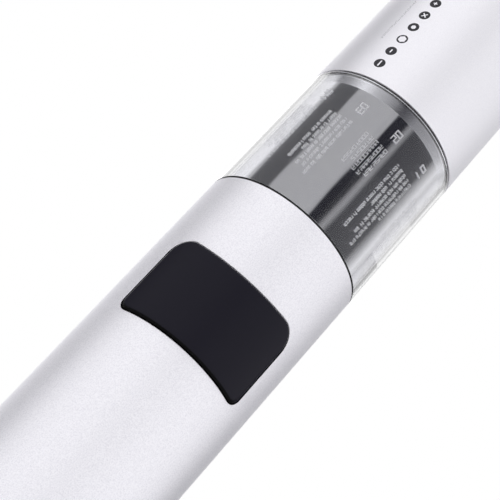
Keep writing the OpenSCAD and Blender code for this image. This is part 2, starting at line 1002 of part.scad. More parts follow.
// Clear sleeve, flush with the handle, that covers the barrel and the front ring
module clear_sleeve() {
    color("#e8eef2", 0.35)
        ring(body_r, sleeve_ir, handle_h + 0.5, front_z);
}

// Satin ring at the end of the barrel, seen through the sleeve, with the spigot that the cap slides over
module front_ring() {
    color("#c8c8ce")
        difference() {
            union() {
                translate([0, 0, ring_z])
                    cylinder(r = sleeve_ir - fit, h = ring_h);
                translate([0, 0, front_z - over])
                    cylinder(r = spigot_or, h = spigot_h + over);
            }
            translate([0, 0, ring_z - over])
                cylinder(r = barrel_ir, h = over + housing_top - ring_z);
            translate([0, 0, ring_z - over])
                cylinder(r = spigot_ir, h = ring_h + spigot_h + 2 * over);
            ring(spigot_or + over, spigot_or - seal_r, seal_z - seal_r, seal_z + seal_r);
        }
}

// Rubber ring on the spigot that holds the cap
module cap_seal() {
    color("#2a2a2e")
        translate([0, 0, seal_z])
            rotate_extrude()
                translate([spigot_or - seal_r + 0.75 * seal_r, 0])
                    circle(r = 0.75 * seal_r - 0.02);
}

// Ring-shaped board with four work lights
module led_board() {
    color("#e9e9ec") {
        ring(spigot_ir - fit, lens_ir, led_z, led_z + led_t);
        for (a = [45 : 90 : 315])
            rotate([0, 0, a])
                translate([(spigot_ir + chuck_r) / 2 - 0.8, -1, led_z + led_t])
                    cube([2, 2, 0.8]);
    }
}

// Frosted ring over the work lights
module led_lens() {
    color("#eef2f4", 0.7)
        ring(spigot_ir - fit, lens_ir, lens_z, front_z + spigot_h - 0.4);
}

// ---- cap ----

// Aluminium cap, closed at its upper end
module cap_shell() {
    color("#dddce2")
        difference() {
            union() {
                translate([0, 0, cap_z])
                    cylinder(r = body_r, h = cap_h - edge);
                translate([0, 0, cap_top - edge])
                    cylinder(r1 = body_r, r2 = body_r - edge, h = edge);
            }
            translate([0, 0, cap_z - over])
                cylinder(r = cap_ir, h = cap_h - cap_end + over);
        }
}

// Black liner that slides over the spigot; its rim shows as a dark line
module cap_liner() {
    color("#1c1c20")
        difference() {
            union() {
                translate([0, 0, cap_z - rim_h])
                    cylinder(r = body_r - 0.5, h = rim_h);
                translate([0, 0, cap_z - rim_h])
                    cylinder(r = liner_or, h = liner_h);
            }
            translate([0, 0, cap_z - over])
                cylinder(r = liner_ir, h = liner_h + 2 * over);
        }
}

// Bit rack in the cap's end, with six round pockets and a recess for the magnet
module bit_rack() {
    color("#2c2c31")
        difference() {
            translate([0, 0, rack_z])
                cylinder(r = liner_or, h = rack_h);
            translate([0, 0, rack_z - over])
                cylinder(r = rack_bore, h = rack_h + 2 * over);
            ring(pocket_at + pocket_r, pocket_at - pocket_r, rack_top - magnet_ring_h, rack_top + over);
            for (k = [0 : 5])
                rotate([0, 0, 60 * k + 30])
                    translate([pocket_at, 0, rack_z - over])
                        cylinder(r = pocket_r, h = pocket_depth + over);
        }
}

// Magnet ring above the pockets
module rack_magnet() {
    color("#6a6b71")
        ring(pocket_at + pocket_r - fit, pocket_at - pocket_r + fit, rack_top - magnet_ring_h,
            rack_top - fit);
}

handle_tube();
tail_cap();
foot_pad();
tail_screws();
chassis_front();
chassis_back();
chassis_screws();
battery_cell();
battery_contacts();
charge_board();
usb_socket();
charge_lamp();
control_board();
tact_switches();
rocker_bracket();
rocker_pin();
rocker_pad();
rocker_frame();
motor_can();
motor_magnets();
motor_end_bell();
motor_leads();
motor_plate();
motor_screws();
motor_shaft();
motor_armature();
sun_pinion();
ring_gear();
planet_one(0);  // planet_one_a
planet_one(1);  // planet_one_b
planet_one(2);  // planet_one_c
first_carrier();
planet_two(0);  // planet_two_a
planet_two(1);  // planet_two_b
planet_two(2);  // planet_two_c
spindle();
lock_ring();
lock_rollers();
bearing_housing();
bearing_outer();
bearing_inner();
bearing_balls();
spindle_clip();
bit_magnet();
fitted_bit();
barrel();
sleeve_gasket();
clear_sleeve();
front_ring();
cap_seal();
led_board();
led_lens();
cap_shell();
cap_liner();
bit_rack();
rack_magnet();
slotted_bits();
hexagon_bits();
cross_bits();
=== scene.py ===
import math
import random

import bmesh
import bpy
from mathutils import Matrix, Vector


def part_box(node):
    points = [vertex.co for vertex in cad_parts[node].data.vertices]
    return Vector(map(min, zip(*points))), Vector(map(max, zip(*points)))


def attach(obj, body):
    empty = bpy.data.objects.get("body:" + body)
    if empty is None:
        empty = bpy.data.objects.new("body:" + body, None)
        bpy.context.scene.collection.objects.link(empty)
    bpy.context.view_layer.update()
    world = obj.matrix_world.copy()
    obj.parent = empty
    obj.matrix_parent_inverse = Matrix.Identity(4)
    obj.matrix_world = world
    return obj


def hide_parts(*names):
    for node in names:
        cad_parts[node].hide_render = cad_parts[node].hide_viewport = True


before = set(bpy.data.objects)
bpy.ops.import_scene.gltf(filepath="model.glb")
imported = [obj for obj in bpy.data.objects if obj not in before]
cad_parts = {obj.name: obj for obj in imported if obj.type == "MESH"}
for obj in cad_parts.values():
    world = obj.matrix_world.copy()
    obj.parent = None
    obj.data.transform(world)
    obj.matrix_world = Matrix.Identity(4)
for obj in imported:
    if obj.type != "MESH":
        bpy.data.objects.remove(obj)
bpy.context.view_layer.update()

# ---- Handle tube ----
# A length of aluminium tube, turned, bead-blasted and clear anodised. The window for the
# control pad is milled through its front wall with a thin bright chamfer, and the charging
# port's slot and its lamp's hole through the back.

MM = 0.001
TURN_STEPS = 360
HOLD = 0.05 * MM
MERGE = 0.0005 * MM
tube_low, tube_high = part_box("handle_tube")
tube_r = tube_high.x
tube_wall = 1.8 * MM
pad_low, pad_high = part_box("rocker_pad")
pad_r = -pad_low.y
pad_half = tube_r * math.asin(pad_high.x / tube_r)
pad_corner_low = 2.7 * MM
pad_corner_top = 5 * MM
pad_dip = 0.9 * MM
port_play_w = 1 * MM
port_play_h = 0.8 * MM
lamp_hole_r = 1.1 * MM
cut_depth = 8 * MM

# Radius and gap round the pad at each level of its window, from outside to inside
WINDOW = ((tube_r + 8 * MM, 0.8 * MM), (tube_r + 0.5 * MM, 0.8 * MM), (tube_r, 0.54 * MM),
          (tube_r - 0.15 * MM, 0.39 * MM), (tube_r - 0.25 * MM, 0.34 * MM), (tube_r - 4 * MM, 0.34 * MM))


class Wire:
    """A socket in a material's node tree; arithmetic on it adds the Math nodes."""

    def __init__(self, tree, socket=None):
        self.tree = tree
        self.socket = socket

    def node(self, kind, settings, sockets, output=0):
        """Adds a node: first its settings, then the values or links of its sockets."""
        made = self.tree.nodes.new("ShaderNode" + kind)
        for name, value in settings.items():
            if name == "stops":
                set_stops(made.color_ramp, value)
            else:
                setattr(made, name, value)
        for name, value in sockets.items():
            if isinstance(value, Wire):
                self.tree.links.new(value.socket, made.inputs[name])
            else:
                made.inputs[name].default_value = value
        return Wire(self.tree, made.outputs[output])

    def math(self, operation, first, second):
        return self.node("Math", {"operation": operation}, {0: first, 1: second})

    def __add__(self, other):
        return self.math("ADD", self, other)

    def __sub__(self, other):
        return self.math("SUBTRACT", self, other)

    def __rsub__(self, other):
        return self.math("SUBTRACT", other, self)

    def __mul__(self, other):
        return self.math("MULTIPLY", self, other)

    __radd__ = __add__
    __rmul__ = __mul__

    def noise(self, size, detail=2.0):
        """Cloudy noise from 0 to 1 whose patches are about this size."""
        return self.node("TexNoise", {}, {"Vector": self, "Scale": 1 / size, "Detail": detail})

    def stretched(self, across, along):
        """The same coordinates squeezed so that patterns run along or around the tool."""
        return self.node("Mapping", {}, {"Vector": self, "Scale": (across, across, along)})

    def colour(self, low, high):
        """A colour between two, by this value."""
        return self.node("Mix", {"data_type": "RGBA"}, {0: self, 6: (*low, 1), 7: (*high, 1)}, 2)

    def between(self, low, high):
        """This value with 0 and 1 moved to two others."""
        return self * (high - low) + low

    def bump(self, depth, strength=1.0):
        """A surface raised by this value times a depth."""
        return self.node("Bump", {}, {"Height": self, "Distance": depth, "Strength": strength})


def set_stops(ramp, stops):
    """Fills a colour ramp from rising pairs of place and grey level."""
    ramp.elements.remove(ramp.elements[1])
    for index, (place, level) in enumerate(stops):
        element = ramp.elements.new(place) if index else ramp.elements[0]
        element.position = place
        element.color = (level, level, level, 1)


def finish_of(name, constants, surface):
    """Makes a material: constants sit on the shader, surface gives what varies over the piece."""
    made = bpy.data.materials.new(name)
    made.use_nodes = True
    shader = made.node_tree.nodes["Principled BSDF"]
    for socket, value in constants.items():
        shader.inputs[socket].default_value = value
    where = Wire(made.node_tree).node("TexCoord", {}, {}, "Object")
    for socket, wire in surface(where).items():
        made.node_tree.links.new(wire.socket, shader.inputs[socket])
    return made


def piece_from(name, mesh, material, body, slot, *stands_for):
    """Ends a piece's modelling: it gets its material and rides on its body."""
    made = bpy.data.meshes.new(name)
    mesh.to_mesh(made)
    mesh.free()
    made.shade_smooth()
    made.set_sharp_from_angle(angle=math.radians(32))
    made.materials.append(material)
    piece = bpy.data.objects.new(name, made)
    bpy.context.scene.collection.objects.link(piece)
    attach(piece, body)
    if stands_for:
        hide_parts(*stands_for)
    return piece


def turned(outline, steps=TURN_STEPS):
    """Spins a closed outline of (radius, height, rounding) points round the tool's axis.

    A point is added close to both ends of each side, so that a rounding leaves the side flat."""
    mesh = bmesh.new()
    corners = [mesh.verts.new((radius, 0, height)) for radius, height, _ in outline]
    mesh.faces.new(corners)
    for corner, (_, _, rounding) in zip(corners, outline):
        if rounding:
            bmesh.ops.bevel(mesh, geom=[corner], affect="VERTICES", offset=rounding,
                            segments=4, profile=0.5, material=-1)
    bmesh.ops.delete(mesh, geom=mesh.faces[:], context="FACES_ONLY")
    for edge in [edge for edge in mesh.edges if edge.is_wire and edge.calc_length() > 4 * HOLD]:
        far = edge.verts[1]
        split, _ = bmesh.utils.edge_split(edge, edge.verts[0], HOLD / edge.calc_length())
        rest = max(edge, split, key=lambda part: part.calc_length())
        bmesh.utils.edge_split(rest, far, HOLD / rest.calc_length())
    rim = [edge for edge in mesh.edges if edge.is_wire]
    points = list({vert for edge in rim for vert in edge.verts})
    bmesh.ops.spin(mesh, geom=points + rim, cent=(0, 0, 0), axis=(0, 0, 1), dvec=(0, 0, 0),
                   angle=math.tau, steps=steps, use_merge=True)
    bmesh.ops.remove_doubles(mesh, verts=mesh.verts[:], dist=MERGE)
    bmesh.ops.delete(mesh, geom=[edge for edge in mesh.edges if edge.is_wire], context="EDGES")
    bmesh.ops.recalc_face_normals(mesh, faces=mesh.faces[:])
    return mesh


def pad_outline(mesh, grow):
    """Draws the pad's outline unrolled, as distance round the tube by height, grown by a gap."""
    half = pad_half + grow
    low = pad_low.z - grow
    high = pad_high.z + grow
    corners = [mesh.verts.new((x, y, 0))
               for x, y in ((-half, low), (half, low), (half, high), (-half, high))]
    mesh.faces.new(corners)
    for pair, radius in ((corners[:2], pad_corner_low), (corners[2:], pad_corner_top)):
        bmesh.ops.bevel(mesh, geom=pair, affect="VERTICES", offset=radius + grow,
                        segments=8, profile=0.5, material=-1)
    long_edges = [edge for edge in mesh.edges if edge.calc_length() > pad_half
                  and abs(edge.verts[0].co.y - edge.verts[1].co.y) < 0.1 * MM]
    bmesh.ops.subdivide_edges(mesh, edges=long_edges, cuts=31)
    for vert in mesh.verts:
        share = vert.co.x / (pad_half - pad_corner_top)
        if vert.co.y > high - 0.01 * MM and abs(share) < 1:
            vert.co.y -= pad_dip * (1 - share * share)


def wrapped(vert, radius):
    """Moves a point of the unrolled outline onto a cylinder of that radius, straight back along Y."""
    across = tube_r * math.sin(vert.co.x / tube_r)
    vert.co = Vector((across, -math.sqrt(radius * radius - across * across), vert.co.y))


def bare_outline(mesh):
    """Leaves only the outline of a flat sheet."""
    inner = [edge for edge in mesh.edges if not edge.is_boundary]
    bmesh.ops.delete(mesh, geom=mesh.faces[:], context="FACES_ONLY")
    bmesh.ops.delete(mesh, geom=inner, context="EDGES")


def window_cutter():
    """The milling for the pad's window: straight walls and a chamfer at the outer surface."""
    mesh = bmesh.new()
    loops = []
    for radius, grow in WINDOW:
        level = bmesh.new()
        pad_outline(level, grow)
        for vert in level.verts:
            wrapped(vert, radius)
        bare_outline(level)
        made = bpy.data.meshes.new("level")
        level.to_mesh(made)
        level.free()
        before = len(mesh.edges)
        mesh.from_mesh(made)
        bpy.data.meshes.remove(made)
        mesh.edges.ensure_lookup_table()
        loops.append(mesh.edges[before:])
    for near, far in zip(loops, loops[1:]):
        bmesh.ops.bridge_loops(mesh, edges=list(near) + list(far))
    for loop in (loops[0], loops[-1]):
        bmesh.ops.triangle_fill(mesh, use_beauty=True, edges=list(loop))
    bmesh.ops.recalc_face_normals(mesh, faces=mesh.faces[:])
    return mesh


def carved(mesh, cutter):
    """Cuts one modelled shape out of another and gives the result."""
    objects = []
    for name, shape in (("blank", mesh), ("cutter", cutter)):
        data = bpy.data.meshes.new(name)
        shape.to_mesh(data)
        shape.free()
        objects.append(bpy.data.objects.new(name, data))
        bpy.context.scene.collection.objects.link(objects[-1])
    cut = objects[0].modifiers.new("cut", "BOOLEAN")
    cut.operation = "DIFFERENCE"
    cut.solver = "EXACT"
    cut.use_self = True
    cut.object = objects[1]
    graph = bpy.context.evaluated_depsgraph_get()
    result = bmesh.new()
    result.from_object(objects[0], graph)
    for made in objects:
        bpy.data.objects.remove(made)
    return result


def blasted_aluminium(where):
    """Bead-blasted grain: shallow dimples a tenth of a millimetre across, with faint clouding."""
    grain = where.noise(0.3 * MM, 3)
    cloud = where.noise(9 * MM)
    mottle = grain.between(-0.4, 1.95) * cloud.between(0.9, 1.0)
    return {
        "Base Color": mottle.colour((0.78, 0.77, 0.83), (0.965, 0.955, 1.0)),
        "Roughness": grain.between(0.5, 0.62),
        "Normal": grain.bump(0.012 * MM, 0.35),
    }


handle_metal = finish_of("bead_blasted_aluminium", {"Metallic": 0.8}, blasted_aluminium)
tube = turned([(tube_r, tube_low.z, 0.15 * MM), (tube_r, tube_high.z, 0.08 * MM),
               (tube_r - tube_wall, tube_high.z, 0), (tube_r - tube_wall, tube_low.z, 0)])
tube = carved(tube, window_cutter())
port_low, port_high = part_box("usb_socket")
lamp_low, lamp_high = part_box("charge_lamp")


def port_cutter():
    """The rounded slot of the charging port and the hole of its lamp, through the back wall."""
    mesh = bmesh.new()
    slot_w = port_high.x - port_low.x + port_play_w
    slot_h = port_high.z - port_low.z + port_play_h
    middle = Matrix.Translation((0, tube_r, (port_low.z + port_high.z) / 2))
    block = middle @ Matrix.Diagonal((slot_w, cut_depth, slot_h, 1))
    bmesh.ops.create_cube(mesh, size=1, matrix=block)
    ends = [edge for edge in mesh.edges if abs(edge.verts[0].co.y - edge.verts[1].co.y) > 1 * MM]
    bmesh.ops.bevel(mesh, geom=ends, affect="EDGES", offset=slot_h / 2 - 0.01 * MM, segments=10,
                    profile=0.5, material=-1)
    lamp = (Matrix.Translation((0, tube_r, (lamp_low.z + lamp_high.z) / 2))
            @ Matrix.Rotation(math.pi / 2, 4, "X"))
    bmesh.ops.create_cone(mesh, cap_ends=True, segments=40, radius1=lamp_hole_r,
                          radius2=lamp_hole_r, depth=cut_depth, matrix=lamp)
    return mesh


tube = carved(tube, port_cutter())
piece_from("handle_shell", tube, handle_metal, "handle", "anodised_silver", "handle_tube")

# ---- Tail ----
# The tail is a turned aluminium disc whose plug enters the tube; three screws under the
# rubber foot draw it onto the chassis.

tail_low, tail_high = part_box("tail_cap")
foot_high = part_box("foot_pad")[1]
fit = 0.1 * MM
plug_r = tube_r - tube_wall - fit
plug_inset = 4.55 * MM
plug_bore = tube_r - plug_inset
recess_r = foot_high.x + fit
screw_ring = 0.4 * tube_r

# Radius and depth of each hole's two steps: the head's recess and the shank
SCREW_STEPS = ((2.6 * MM, 3 * MM), (1.4 * MM, 9 * MM))


def tail_holes():
    """Three stepped screw holes through the tail."""
    mesh = bmesh.new()
    for angle in (90, 210, 330):
        place = Matrix.Rotation(math.radians(angle), 4, "Z") @ Matrix.Translation((screw_ring, 0, 0))
        for radius, depth in SCREW_STEPS:
            bmesh.ops.create_cone(mesh, cap_ends=True, segments=40, radius1=radius, radius2=radius,
                                  depth=2 * depth, matrix=place)
    return mesh


tail = turned([(0, foot_high.z, 0), (recess_r, foot_high.z, 0), (recess_r, tail_low.z, 0.2 * MM),
               (tube_r, tail_low.z, 0.9 * MM), (tube_r, tube_low.z, 0.15 * MM),
               (plug_r, tube_low.z, 0), (plug_r, tail_high.z, 0.2 * MM), (plug_bore, tail_high.z, 0),
               (plug_bore, tube_low.z, 0), (0, tube_low.z, 0)])
tail = carved(tail, tail_holes())
piece_from("tail_disc", tail, handle_metal, "handle", "anodised_silver", "tail_cap")


def dressed(material, *nodes):
    """Gives CAD nodes a material in place of their plain one."""
    for node in nodes:
        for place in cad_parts[node].material_slots:
            place.material = material


def foot_rubber(where):
    """Moulded rubber: a fine pebble with a dusty bloom."""
    pebble = where.noise(0.5 * MM, 3)
    return {
        "Base Color": pebble.colour((0.012, 0.012, 0.014), (0.03, 0.03, 0.033)),
        "Roughness": pebble.between(0.6, 0.8),
        "Normal": pebble.bump(0.05 * MM, 0.5),
    }


rubber = finish_of("moulded_rubber", {"Specular IOR Level": 0.3}, foot_rubber)
dressed(rubber, "foot_pad")


def zinc_steel(where):
    """Bright zinc plate with fine handling marks."""
    marks = where.stretched(1, 5).noise(0.6 * MM, 4)
    return {
        "Base Color": marks.colour((0.42, 0.42, 0.44), (0.62, 0.62, 0.65)),
        "Roughness": marks.between(0.25, 0.45),
        "Normal": marks.bump(0.01 * MM, 0.3),
    }


zinc = finish_of("zinc_plated_screw", {"Metallic": 1.0}, zinc_steel)
dressed(zinc, "tail_screws")

# ---- Chassis ----
# Two halves moulded in glass-filled plastic, closed by four self-tapping screws. They carry
# the cell and both boards inside the tube.


def filled_plastic(where):
    """Spark-eroded mould texture with the glass fibre's faint clouding."""
    texture = where.noise(0.35 * MM, 3)
    fibre = where.noise(5 * MM)
    return {
        "Base Color": fibre.colour((0.028, 0.028, 0.032), (0.045, 0.045, 0.05)),
        "Roughness": texture.between(0.45, 0.65),
        "Normal": texture.bump(0.03 * MM, 0.4),
    }


black_plastic = finish_of("glass_filled_plastic", {"Specular IOR Level": 0.4}, filled_plastic)
dressed(black_plastic, "chassis_front", "chassis_back")
dressed(zinc, "chassis_screws")

# ---- Cell and its strips ----
# A cylindrical lithium cell in a blue shrink sleeve lies along the chassis. Nickel strips are
# spot-welded to both of its ends.


def shrink_sleeve(where):
    """Thin blue shrink film with soft wrinkles."""
    wrinkle = where.stretched(1, 0.3).noise(3 * MM)
    return {
        "Base Color": wrinkle.colour((0.04, 0.2, 0.42), (0.06, 0.26, 0.52)),
        "Roughness": wrinkle.between(0.25, 0.4),
        "Normal": wrinkle.bump(0.05 * MM, 0.4),
    }


def rolled_nickel(where):
    """Rolled strip with fine lines along it."""
    lines = where.stretched(1, 12).noise(2 * MM, 3)
    return {
        "Base Color": lines.colour((0.58, 0.55, 0.48), (0.72, 0.69, 0.62)),
        "Roughness": lines.between(0.25, 0.4),
    }


dressed(finish_of("blue_shrink_sleeve", {}, shrink_sleeve), "battery_cell")
nickel = finish_of("nickel_strip", {"Metallic": 1.0}, rolled_nickel)
dressed(nickel, "battery_contacts")

# ---- Charging port ----
# A round board over the tail carries the port and its lamp. The port's steel shell ends just
# inside the tube's slot.


def solder_mask(where):
    """Green solder mask over copper tracks that show as a lighter weave."""
    tracks = where.noise(1.4 * MM, 1)
    return {
        "Base Color": tracks.colour((0.008, 0.06, 0.03), (0.02, 0.13, 0.06)),
        "Roughness": tracks.between(0.3, 0.45),
        "Normal": tracks.bump(0.02 * MM, 0.3),
    }


def drawn_steel(where):
    """Bright drawn steel with fine lines."""
    lines = where.stretched(6, 1).noise(1.5 * MM, 3)
    return {
        "Base Color": lines.colour((0.5, 0.5, 0.52), (0.68, 0.68, 0.7)),
        "Roughness": lines.between(0.2, 0.35),
        "Normal": lines.bump(0.008 * MM, 0.3),
    }


def light_pipe(where):
    """Milky light pipe."""
    milk = where.noise(1 * MM)
    return {
        "Base Color": milk.colour((0.62, 0.7, 0.63), (0.75, 0.82, 0.76)),
        "Roughness": milk.between(0.25, 0.35),
    }


green_board = finish_of("green_solder_mask", {}, solder_mask)
bright_steel = finish_of("drawn_steel", {"Metallic": 1.0}, drawn_steel)
dressed(green_board, "charge_board", "control_board")
dressed(bright_steel, "usb_socket")
dressed(finish_of("milky_light_pipe", {"Subsurface Weight": 0.1}, light_pipe), "charge_lamp")

# ---- Control board, switches and rocker bracket ----
# The long board stands behind the pad with a push switch under each end of it. A bracket
# on the board holds the steel pin that the pad rocks on.

dressed(black_plastic, "tact_switches", "rocker_bracket")
dressed(bright_steel, "rocker_pin")

# ---- Control pad ----
# A soft-touch black skin on a hard frame that rocks on the pin: press one end for forward,
# the other for reverse. Its rim is rolled over and stands just out of the handle.

skin_back_r = 21.4 * MM
pad_thickness = pad_r - skin_back_r
rim_round = 0.75 * MM
pad_strips = 72
pad_rows = 22
row_pitch = 1 * MM


def thickened(mesh, depth):
    """Raises a flat sheet into a solid of that depth."""
    raised = bmesh.ops.extrude_face_region(mesh, geom=mesh.faces[:])["geom"]
    bmesh.ops.translate(mesh, verts=[part for part in raised if isinstance(part, bmesh.types.BMVert)],
                        vec=(0, 0, depth))
    bmesh.ops.recalc_face_normals(mesh, faces=mesh.faces[:])


def sliced(mesh, place, across):
    """Cuts a shape along one plane, so that it bends smoothly when it is wrapped."""
    bmesh.ops.bisect_plane(mesh, geom=mesh.verts[:] + mesh.edges[:] + mesh.faces[:],
                           dist=0.0001 * MM, plane_co=place, plane_no=across)


def pad_shape():
    """The pad's outline made thick, its outer rim rounded, cut into strips and wrapped."""
    mesh = bmesh.new()
    pad_outline(mesh, 0)
    thickened(mesh, pad_thickness)
    rim = [edge for edge in mesh.edges
           if min(vert.co.z for vert in edge.verts) > pad_thickness - 0.01 * MM]
    bmesh.ops.bevel(mesh, geom=rim, affect="EDGES", offset=rim_round, segments=5, profile=0.5,
                    material=-1, clamp_overlap=True)
    for step in range(1, pad_strips):
        sliced(mesh, ((2 * step / pad_strips - 1) * pad_half, 0, 0), (1, 0, 0))
    for step in range(1, pad_rows + 1):
        sliced(mesh, (0, pad_low.z + step * row_pitch, 0), (0, 1, 0))
    for vert in mesh.verts:
        wrapped(vert, pad_r - pad_thickness + vert.co.z)
    return mesh


def soft_touch(where):
    """Soft-touch lacquer with a very fine matt grain. Faces turned downward, such as the skin's lower wall,
    are painted darker as painted shade, and are made rougher.
    """
    grain = where.noise(0.12 * MM, 2)
    facing = where.node("SeparateXYZ", {}, {0: where.node("TexCoord", {}, {}, "Normal")}, 2)
    # Downward-facing mask: it darkens the colour as painted shade and also raises the roughness.
    underside_shade_and_roughness = where.node("Math", {"operation": "MULTIPLY", "use_clamp": True}, {0: facing, 1: -1.6})
    face = (grain.between(0.5, 1.0) * (1 - underside_shade_and_roughness)).colour((0.0, 0.0, 0.0), (0.0062, 0.005, 0.0145))
    return {"Base Color": face,
            "Roughness": grain.between(0.4, 0.48) + underside_shade_and_roughness * 0.5,
            "Normal": grain.bump(0.01 * MM, 0.3)}


soft_black = finish_of("soft_touch_black", {"Specular IOR Level": 0.17}, soft_touch)
piece_from("control_pad", pad_shape(), soft_black, "rocker", "soft_black", "rocker_pad")
dressed(black_plastic, "rocker_frame")

# ---- Motor ----
# A brushed motor: steel can, two arc magnets, a wound armature on the shaft and a moulded
# end bell with the two leads. A steel plate screws it to the gearbox.


def sintered(where):
    """Dull grey sintered magnet."""
    pores = where.noise(0.25 * MM, 4)
    return {
        "Base Color": pores.colour((0.05, 0.05, 0.055), (0.12, 0.12, 0.13)),
        "Roughness": pores.between(0.5, 0.7),
        "Normal": pores.bump(0.02 * MM, 0.5),
    }


def enamelled_wire(where):
    """Windings of enamelled copper wire laid side by side."""
    turns = where.node("TexWave", {"bands_direction": "Z"},
                       {"Vector": where, "Scale": 900, "Distortion": 1.5})
    return {
        "Base Color": turns.colour((0.2, 0.06, 0.02), (0.6, 0.24, 0.09)),
        "Roughness": turns.between(0.3, 0.5),
        "Normal": turns.bump(0.1 * MM, 0.6),
    }


def red_insulation(where):
    """Extruded insulation with a slight sheen."""
    skin = where.noise(1 * MM)
    return {"Base Color": skin.colour((0.3, 0.02, 0.015), (0.42, 0.04, 0.03)),
            "Roughness": skin.between(0.35, 0.5)}


magnet_grey = finish_of("sintered_magnet", {"Metallic": 0.6}, sintered)
dressed(bright_steel, "motor_can", "motor_plate", "motor_shaft")
dressed(magnet_grey, "motor_magnets", "rack_magnet", "bit_magnet")
dressed(black_plastic, "motor_end_bell")
dressed(finish_of("red_insulation", {}, red_insulation), "motor_leads")
dressed(zinc, "motor_screws")
dressed(finish_of("enamelled_copper", {"Metallic": 0.7}, enamelled_wire), "motor_armature")

# ---- Gearbox ----
# Two planetary stages run in one steel ring gear. The pinion is brass and the planets are
# moulded in acetal.


def cut_brass(where):
    """Hobbed brass with fine feed marks."""
    marks = where.stretched(1, 8).noise(1 * MM, 3)
    return {"Base Color": marks.colour((0.55, 0.36, 0.12), (0.72, 0.52, 0.22)),
            "Roughness": marks.between(0.22, 0.4)}


def acetal(where):
    """Natural acetal, greasy from the gearbox's lubricant."""
    grease = where.noise(2 * MM)
    return {"Base Color": grease.colour((0.62, 0.59, 0.5), (0.78, 0.75, 0.68)),
            "Roughness": grease.between(0.2, 0.5)}


dressed(finish_of("hobbed_brass", {"Metallic": 1.0}, cut_brass), "sun_pinion")
natural_acetal = finish_of("natural_acetal", {}, acetal)
for stage in ("one", "two"):
    dressed(natural_acetal, *[f"planet_{stage}_{letter}" for letter in "abc"])
dressed(bright_steel, "ring_gear", "first_carrier", "lock_ring", "lock_rollers")

# ---- Bearing and circlip ----
# The spindle turns in a steel ball bearing, pressed into an aluminium housing. A steel
# circlip in the spindle's groove keeps it there.

dressed(handle_metal, "bearing_housing")
dressed(bright_steel, "bearing_outer", "bearing_inner", "bearing_balls", "spindle_clip")

# ---- Spindle and fitted bit ----
# The hardened steel spindle ends in a chuck with a hexagon socket. A small magnet at the
# bottom of the socket holds the bit.

dressed(bright_steel, "spindle", "fitted_bit")

# ---- Barrel ----
# The barrel around the gearbox is polished and chrome-plated. It is drawn tube, so its
# reflections waver slightly.

barrel_low, barrel_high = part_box("barrel")
barrel_r = 21 * MM
barrel_bore = 19.2 * MM


def chrome_plate(where):
    """Chrome over drawn tube: long shallow waves along it and a trace of haze."""
    wave = where.stretched(1, 0.35).noise(9 * MM, 1)
    haze = where.noise(2.5 * MM, 3)
    return {
        "Base Color": haze.colour((0.86, 0.86, 0.9), (0.93, 0.93, 0.96)),
        "Roughness": haze.between(0.05, 0.1),
        "Normal": wave.bump(0.35 * MM, 0.5),
    }


chrome = finish_of("chrome_plate", {"Metallic": 1.0}, chrome_plate)
barrel_shape = turned([(barrel_r, tube_high.z, 0), (barrel_r, barrel_high.z, 0.1 * MM),
                       (barrel_bore, barrel_high.z, 0), (barrel_bore, barrel_low.z, 0),
                       (plug_r, barrel_low.z, 0.2 * MM), (plug_r, tube_high.z, 0)])
piece_from("chrome_barrel", barrel_shape, chrome, "handle", "bright_barrel", "barrel")

# ---- Gasket ----
# A thin flat ring of black rubber, squeezed between the tube's end and the clear sleeve. It
# shows as a dark line.

gasket_low, gasket_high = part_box("sleeve_gasket")
gasket_bore = barrel_r + fit
gasket_shape = turned([(gasket_high.x, gasket_low.z, 0), (gasket_high.x, gasket_high.z, 0.05 * MM),
                       (gasket_bore, gasket_high.z, 0), (gasket_bore, gasket_low.z, 0)])
piece_from("black_gasket", gasket_shape, rubber, "handle", "black_rubber", "sleeve_gasket")

# ---- Clear sleeve ----
# A polished length of clear acrylic tube, flush with handle and cap. It slides over the
# barrel and the satin ring.

sleeve_low, sleeve_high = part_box("clear_sleeve")
sleeve_wall = 1.3 * MM
sleeve_bore = tube_r - sleeve_wall


def clear_acrylic(where):
    """Polished acrylic with a breath of handling haze."""
    haze = where.noise(6 * MM, 2)
    return {"Roughness": haze.between(0.0, 0.03),
            "Base Color": haze.colour((0.985, 0.985, 1), (1, 1, 1))}


acrylic = finish_of("clear_acrylic", {"Transmission Weight": 1.0, "IOR": 1.49, "Specular IOR Level": 0.3},
                    clear_acrylic)
sleeve_shape = turned([(tube_r, sleeve_low.z, 0.06 * MM), (tube_r, sleeve_high.z, 0.2 * MM),
                       (sleeve_bore, sleeve_high.z, 0.1 * MM), (sleeve_bore, sleeve_low.z, 0.1 * MM)])
piece_from("acrylic_sleeve", sleeve_shape, acrylic, "handle", "clear_plastic", "clear_sleeve")

# ---- Printing inside the sleeve ----
# Twelve columns of instructions are screen-printed in white on the sleeve's inner face. Here
# each column is five lines of plain strokes that spell nothing, under a two-figure number.

print_r = sleeve_bore - 0.03 * MM
print_film = 0.02 * MM
line_pitch = math.radians(4.25)
line_top = 170.3 * MM
line_drop = 0.45 * MM
stroke_w = 0.115 * MM
letter_w, letter_h, letter_gap = 0.4 * MM, 0.62 * MM, 0.3 * MM
dense_w, dense_h, dense_gap = 0.8 * MM, 0.88 * MM, 0.34 * MM
tall_h = 0.92 * MM
word_gap = 0.42 * MM
column_first = 42
column_turn = 30
number_top = 176.7 * MM
number_step = 1.8 * MM
number_drop = 0.9 * MM
number_w, number_h, number_bar = 1.15 * MM, 1.8 * MM, 0.26 * MM
SHAPES = ("left_up left_down", "left_up left_down top right_up right_down", "left_up left_down top low",
          "left_up left_down low right_up right_down", "top middle low left_up left_down right_up",
          "top left_up left_down", "top low left_up left_down right_up right_down")
DENSE_SHAPES = ("top middle low left_up right_down", "top low left_up left_down right_up right_down",
                "top middle right_up right_down left_down", "middle low left_up left_down right_up")
